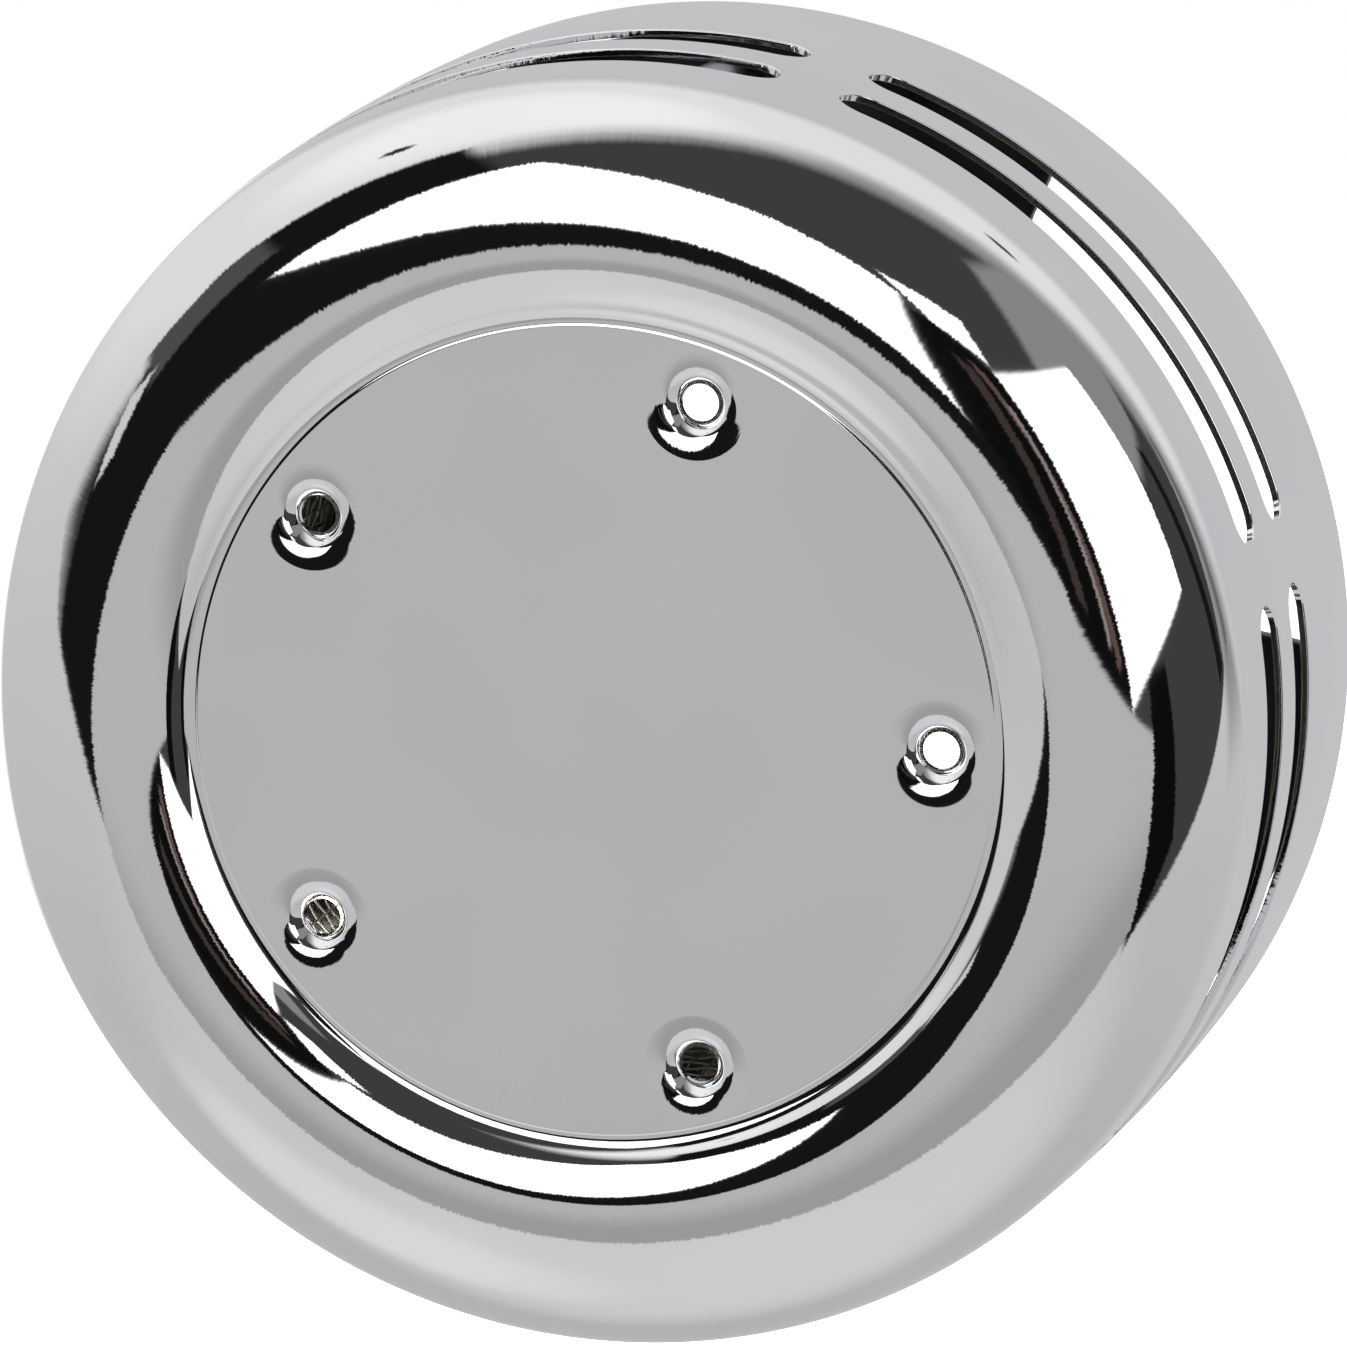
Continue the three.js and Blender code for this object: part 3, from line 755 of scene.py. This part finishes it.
THROAT_CIRCLE = 46.3
edge = []
for a in np.arange(0, 360, 0.75):
    off = abs((a - 28.5 + 60) % 120 - 60)
    share = min(max((off - 24.6) / 2.8, 0), 1)
    reach = 68.6 + 12.4 * share * share * (3 - 2 * share)
    edge.append(around(a, reach))
holes = [circle((0, 0), THROAT, 180)]
holes += [circle(around(a, THROAT_CIRCLE), 3.1, 32) for a in LOBES]
holes += [circle(around(a, POST_CIRCLE), 2.6, 32) for a in LOBES]
base = plate("base_pressing", edge, holes, PLATE_FRONT, PLATE_BACK, 0.45, enamel)
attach(base, "base")
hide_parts("base_plate")
section = [(52.1, -6.8), (53.6, -6.8), (53.6, -4.75), (54.2, -4.7), (52.1, -4.7)]
ledge = lathe("filter_ledge", eased(section, 0.4), enamel)
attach(ledge, "base")

# ------------------------------------------------------------------ air horn
# Gravity-cast aluminium, turned all over: a flange under the three throat screws and a rolled bell mouth.
aluminium, tree, shader = material("turned cast aluminium", Metallic=1.0)
place = node(tree, "ShaderNodeTexCoord").outputs["Object"]
split = node(tree, "ShaderNodeSeparateXYZ", {0: place})
flatten = node(tree, "ShaderNodeCombineXYZ", {0: split.outputs[0], 2: split.outputs[2]})
radius = node(tree, "ShaderNodeVectorMath", {0: flatten}, operation="LENGTH").outputs["Value"]
feed_at = node(tree, "ShaderNodeCombineXYZ", {0: radius, 1: split.outputs[1]})
# feed marks of the lathe tool, 0.25 mm apart
feed = node(tree, "ShaderNodeTexNoise", {"Vector": feed_at, "Scale": 4000.0, "Detail": 1.0})
emboss(tree, feed, 0.4, 0.00004)
grain = node(tree, "ShaderNodeTexNoise", {"Vector": place, "Scale": 300.0, "Detail": 5.0})
tint(tree, grain, (0.3, "#c2c4c6"), (0.7, "#d3d4d5"))
roughen(tree, grain, 0.24, 0.36)
back, lip = -5.1, -17.8
bell = [(THROAT, back), (THROAT, lip + 4)]
for t in np.linspace(0.1, math.pi - 0.5, 14):
    bell.append((THROAT + 2.1 - 2.1 * math.cos(t), lip + 2.4 - 2.4 * math.sin(t)))
bell += [(THROAT + 2.6, lip + 3.6), (THROAT + 2, lip + 5.0), (THROAT + 2, back - 4.2)]
bell += [(THROAT + 2.35, back - 3.35), (THROAT + 3.2, back - 3), (51.0, back - 3)]
bell += [(51.5, back - 2.5), (51.5, back - 0.4), (51.1, back)]
horn = lathe("air_horn_turning", bell, aluminium, steps=200, crease=28)
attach(horn, "base")
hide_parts("air_horn")

# ------------------------------------------------------------------ throat gasket
# Die-cut from 1.5 mm fibre-filled sheet, with the edges slightly furred by the knife.
sheet, tree, shader = material("fibre gasket sheet", Roughness=0.88)
place = node(tree, "ShaderNodeTexCoord").outputs["Object"]
# short fibres, 0.5 mm across and 3 mm long
fibre_at = node(tree, "ShaderNodeMapping", {"Vector": place, "Scale": (2000, 2000, 330)})
fibres = node(tree, "ShaderNodeTexNoise", {"Vector": fibre_at, "Scale": 1.0, "Detail": 4.0, "Distortion": 1.5})
tint(tree, fibres, (0.35, "#4e544f"), (0.7, "#676e68"))
emboss(tree, fibres, 0.5, 0.00006)
holes = [circle((0, 0), THROAT, 180)] + [circle(around(a, THROAT_CIRCLE), 3.1, 32) for a in LOBES]
gasket = plate("gasket_cutting", circle((0, 0), 51.5, 240), holes, -1.5, 0.0, 0.12, sheet)
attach(gasket, "base")
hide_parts("throat_gasket")

# ------------------------------------------------------------------ screws and washers
# Button-head socket screws with flat washers, zinc plated: three M5 pull the cover's posts to the plate
# from behind and three M6 hold the horn, the plate and the gasket to the carburettor.


def socket_screw(name, at, seat, toward_y, shank, length, head_r, head_h, key, pitch):
    """A button head with a hexagon socket on one side of its seat and a threaded shank on the other."""
    sides = 48
    turns = np.linspace(0, 2 * math.pi, sides, endpoint=False)
    hexagon = key / np.cos((turns + math.pi / 6) % (math.pi / 3) - math.pi / 6)

    def level(radius, y):
        return ring(at, radius, turns, seat + toward_y * y)

    rings = [level(0.02, -head_h * 0.3), level(hexagon * 0.9, -head_h * 0.36), level(hexagon, -head_h * 0.45)]
    rings += [level(hexagon, -head_h + 0.12), level(hexagon * 1.06, -head_h)]
    for t in np.linspace(0.42, math.pi / 2 - 0.1, 12):
        radius = 0.5 * key + (head_r - 0.5 * key) * math.sin(t) ** 0.9
        rings.append(level(radius, -0.25 - (head_h - 0.25) * math.cos(t) ** 0.8))
    rings += [level(head_r, -0.25), level(head_r - 0.15, 0.0), level(shank + 0.1, 0.0)]
    for turn in thread(shank - 0.35, shank, pitch, 0.6, length - 0.9, (0.0, 0.0), sides):
        rings.append(turn * (1, toward_y, 1) + (at[0], seat, at[1]))
    rings += [level(shank - 0.4, length - 0.8), level(shank - 0.9, length - 0.05), level(shank - 1.1, length)]
    return lofted(name, rings, zinc, crease=40)


for i, angle in enumerate(LOBES):
    at = around(angle, POST_CIRCLE)
    seat = PLATE_BACK + 0.3
    outline = eased([(2.65, seat), (5.6, seat), (5.6, seat + 1), (2.65, seat + 1)], 0.2)
    washer = lathe(f"washer_m5_{i + 1}", outline, zinc, 48, at)
    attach(washer, "base")
    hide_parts(f"cover_washer_{i + 1}")
    screw = socket_screw(f"screw_m5_{i + 1}", at, seat + 1.3, -1, 2.3, 15, 4.6, 2.8, 1.6, 0.8)
    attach(screw, "base")
    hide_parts(f"cover_screw_{i + 1}")
    at = around(angle, THROAT_CIRCLE)
    seat = PLATE_FRONT - 3.6
    outline = eased([(3.15, seat - 1), (4.7, seat - 1), (4.7, seat), (3.15, seat)], 0.2)
    washer = lathe(f"washer_m6_{i + 1}", outline, zinc, 48, at)
    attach(washer, "base")
    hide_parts(f"throat_washer_{i + 1}")
    screw = socket_screw(f"screw_m6_{i + 1}", at, seat - 1.3, 1, 2.8, 16, 4.4, 3.4, 1.9, 1.0)
    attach(screw, "base")
    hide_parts(f"throat_screw_{i + 1}")

# ------------------------------------------------------------------ studio
# A pale floor and plain soft light. Polished plate only shows what stands around it, so the sky holds the
# soft boxes, the grey card and the dark half of the room as shapes by direction: degrees right of straight
# ahead (-Y) and degrees up. Nothing in it is nearer than the rest.
floor_size = 6.0
FLOOR_Z = -0.32
half = floor_size / 2
floor_mesh = bpy.data.meshes.new("floor")
corners = [(x * half, y * half, FLOOR_Z) for x, y in ((-1, -1), (1, -1), (1, 1), (-1, 1))]
floor_mesh.from_pydata(corners, [], [(0, 1, 2, 3)])
floor = placed("floor", floor_mesh)
floor.visible_glossy = False
paper, tree, shader = material("white studio paper", Roughness=0.9)
place = node(tree, "ShaderNodeTexCoord").outputs["Object"]
grain = node(tree, "ShaderNodeTexNoise", {"Vector": place, "Scale": 900.0})
tint(tree, grain, (0.3, "#fafafa"), (0.7, "#ffffff"))
shader.inputs["Emission Color"].default_value = (1.0, 1.0, 1.0, 1.0)
shader.inputs["Emission Strength"].default_value = 1.0
floor_mesh.materials.append(paper)

world = bpy.data.worlds.new("studio")
scene.world = world
world.use_nodes = True
world.cycles.sampling_method = "MANUAL"
world.cycles.sample_map_resolution = 512
tree = world.node_tree
tree.nodes.clear()
aim = node(tree, "ShaderNodeTexCoord").outputs["Generated"]


def toward(right, up):
    right, up = math.radians(right), math.radians(up)
    return Vector((math.cos(up) * math.sin(right), -math.cos(up) * math.cos(right), math.sin(up)))


def along(direction):
    """How far the ray's direction goes along another."""
    made = node(tree, "ShaderNodeVectorMath", {0: aim, 1: direction}, operation="DOT_PRODUCT")
    return made.outputs["Value"]


def shape(corners, soft):
    """1 inside the flat-sided shape with these corners, falling to 0 over soft degrees beyond its edges."""
    spots = [toward(*c) for c in corners]
    middle = sum(spots, Vector())
    least = None
    for a, b in zip(spots, spots[1:] + spots[:1]):
        side = a.cross(b).normalized()
        side = side if side.dot(middle) > 0 else -side
        depth = along(side)
        least = depth if least is None else node(tree, "ShaderNodeMath", {0: least, 1: depth}, operation="MINIMUM")
    reach = math.radians(soft)
    ends = {"From Min": -reach, "From Max": reach * 0.1}
    return node(tree, "ShaderNodeMapRange", {"Value": least, **ends}, interpolation_type="SMOOTHSTEP")


def spot(right, up, radius, soft):
    """1 inside a round spot, falling to 0 over soft degrees."""
    ends = {"From Min": math.cos(math.radians(radius + soft)), "From Max": math.cos(math.radians(radius))}
    near = {"Value": along(toward(right, up)), **ends}
    return node(tree, "ShaderNodeMapRange", near, interpolation_type="SMOOTHSTEP")


def both(mask, other):
    """Where two masks overlap."""
    return node(tree, "ShaderNodeMath", {0: mask, 1: other}, operation="MULTIPLY")


def over(below, mask, hex_colour, boost=1.0):
    top = [c * boost for c in linear(hex_colour)[:3]] + [1.0]
    made = node(tree, "ShaderNodeMix", {"Factor": mask}, data_type="RGBA")
    tree.links.new(below, made.inputs[6])
    made.inputs[7].default_value = top
    return made.outputs[2]


# the tent of white cloth: grey near the table, lighter overhead
lift = node(tree, "ShaderNodeSeparateXYZ", {0: aim}).outputs[2]
height = node(tree, "ShaderNodeMapRange", {"Value": lift, "From Min": -1.0, "From Max": 1.0})
cloth = ((0.0, "#b4b4b5"), (0.3, "#bcbcbd"), (0.55, "#cacacb"), (0.68, "#dededf"), (1.0, "#e2e2e2"))
sky = ramp(tree, height, *cloth).outputs[0]
sky = over(sky, spot(-8, -52, 12, 34), "#cfcfd0")
sky = over(sky, spot(-45, -48, 5, 14), "#dadada")
sky = over(sky, spot(179, 4, 34, 26), "#c0c0c2")
sky = over(sky, spot(-135, -2, 10, 12), "#ffffff", 1.3)
sky = over(sky, spot(-60, 62, 10, 22), "#f2f2f2")
sky = over(sky, spot(-55.8, 45.9, 0.8, 1.6), "#303030")
sky = over(sky, spot(110.7, 53, 1.0, 2.2), "#404040")
# the dark half of the room above the table
dusk = [(-50, 40), (-24, 54), (6, 62), (40, 66), (72, 60), (98, 46), (120, 20), (122, 0), (54, -8), (-30, 0)]
sky = over(sky, shape(dusk, 14.0), "#8e8e8e")
above = shape([(-79, 18), (-38, -19.5), (28.8, -25.3), (110, -1.5), (60, 75), (-60, 70)], 0.9)
dark = [(-57, 6), (-55.5, 16), (-43, 36), (-24, 48), (6, 55), (38, 58), (66, 54), (88, 42)]
dark += [(102, 24), (116, -4), (28, -40), (-30, -34)]
sky = over(sky, both(shape(dark, 8.0), above), "#3c3c3c")
black = shape([(-53.5, 22), (-36, 40), (-24, 26), (-12, 6), (-18, -30), (-46, -30)], 2.0)
sky = over(sky, both(black, above), "#141414")
sky = over(sky, shape([(-22, 2), (-9, 4), (0, -2), (4, -12), (-22, -12)], 1.0), "#141414")
sky = over(sky, shape([(-56, 14), (-51, 25), (-43, 20), (-47, 9)], 1.5), "#4c4b4a")
sky = over(sky, shape([(-52.5, 9), (-49.5, 10), (-47.5, 3), (-50, 2)], 0.8), "#c8c8c8")
sky = over(sky, shape([(28, -6), (38, -4), (43, -19), (28.8, -26)], 1.0), "#0c0c0c")
grey = [(32, 25), (42, 44), (60, 49), (74, 47), (83, 38), (77, 29), (60, 21), (40, 20)]
sky = over(sky, shape(grey, 3.0), "#868686")
sky = over(sky, shape([(70, 24), (74, 24), (92, -1), (87, -3)], 1.2), "#161616")
sky = over(sky, shape([(93, 26), (96, 26), (108, 2), (104, 0)], 2.0), "#6a6a6a")
# the grey card that hides the camera
card = [(-27, -4.5), (0, -7.5), (27.9, -10.2), (28.4, -24.7), (14, -29)]
card = shape(card + [(-6, -30), (-21.6, -28), (-32, -20), (-32.4, -12.6)], 0.6)
sky = over(sky, card, "#b4b4b5")
low = shape([(-40, -19), (40, -19), (40, -34), (-40, -34)], 9.0)
sky = over(sky, both(card, low), "#9c9c9d")
# a stand with its cables, dark between the soft boxes
sky = over(sky, shape([(-3, -2), (4, 13), (6, 13.5), (12.4, 12), (17, 2), (19, -8.4), (0, -7.5)], 0.8), "#0e0d0d")
sky = over(sky, shape([(5.0, 9), (6.8, 9), (5.6, -6), (3.4, -6)], 0.5), "#3b3432")
sky = over(sky, shape([(7.6, 10.5), (9.0, 10.5), (15.6, -6.6), (13.9, -7.2)], 0.4), "#5c4a46")
sky = over(sky, shape([(9.6, 8), (10.4, 8), (12.6, -6.0), (11.6, -6.4)], 0.3), "#8c8482")
# two soft boxes and the gap between their curtains
sky = over(sky, shape([(-35.5, 13.5), (-22, 30.6), (4, 15.8), (-4.5, -2.3)], 0.7), "#ffffff", 1.5)
sky = over(sky, shape([(12.6, 12.6), (49, 31), (56.2, 20.7), (60.3, 6.8), (18.9, -8.6)], 0.7), "#ffffff", 1.5)
sky = over(sky, shape([(4.9, 19.3), (13.7, 20.2), (12.2, 14), (6.3, 14)], 0.5), "#ffffff", 1.3)
seen = node(tree, "ShaderNodeLightPath").outputs["Is Camera Ray"]
room_light = node(tree, "ShaderNodeBackground", {"Color": sky, "Strength": 1.06})
backdrop = node(tree, "ShaderNodeBackground", {"Color": (1.0, 1.0, 1.0, 1.0), "Strength": 1.0})
blend = node(tree, "ShaderNodeMixShader", {0: seen, 1: room_light, 2: backdrop})
node(tree, "ShaderNodeOutputWorld", {"Surface": blend})


def hang(lamp, at):
    """Put a lamp up, turned to the part and hidden from the camera and from mirror reflections."""
    holder = bpy.data.objects.new(lamp.name, lamp)
    holder.location = at
    holder.rotation_euler = (-Vector(at)).to_track_quat("-Z", "Y").to_euler()
    holder.visible_glossy = False
    holder.visible_camera = False
    scene.collection.objects.link(holder)


behind = (0.55, 1.0, 0.5)
soft_lamps = [("key", (-0.9, -1.1, 1.5), 1.2, 38.0), ("fill", (1.2, -0.9, 0.6), 1.0, 10.0)]
soft_lamps.append(("rear", behind, 0.7, 18.0))
for name, at, size, watts in soft_lamps:
    lamp = bpy.data.lights.new(name, "AREA")
    lamp.shape = "DISK"
    lamp.size = size
    lamp.energy = watts
    hang(lamp, at)
# a narrow beam through the throat, so that the holes in the disc don't look into a dark filter
lamp = bpy.data.lights.new("throat_beam", "SPOT")
lamp.spot_size = math.radians(3.4)
lamp.spot_blend = 0.25
lamp.shadow_soft_size = 0.03
lamp.energy = 1300.0
hang(lamp, behind)

lens = bpy.data.cameras.new("camera")
lens.sensor_width = 36.0
lens.lens = 156.6
lens.clip_start = 0.01
camera = bpy.data.objects.new("camera", lens)
right, up, ahead = (0.9687, 0.2483, 0.0), (-0.0501, 0.1954, 0.9794), (-0.2432, 0.9488, -0.2017)
turn = Matrix([(r, u, -a) for r, u, a in zip(right, up, ahead)]).to_4x4()
camera.matrix_world = Matrix.Translation((0.1868, -0.7584, 0.1543)) @ turn
scene.collection.objects.link(camera)
scene.camera = camera
scene.view_settings.view_transform = "Standard"
scene.view_settings.look = "None"
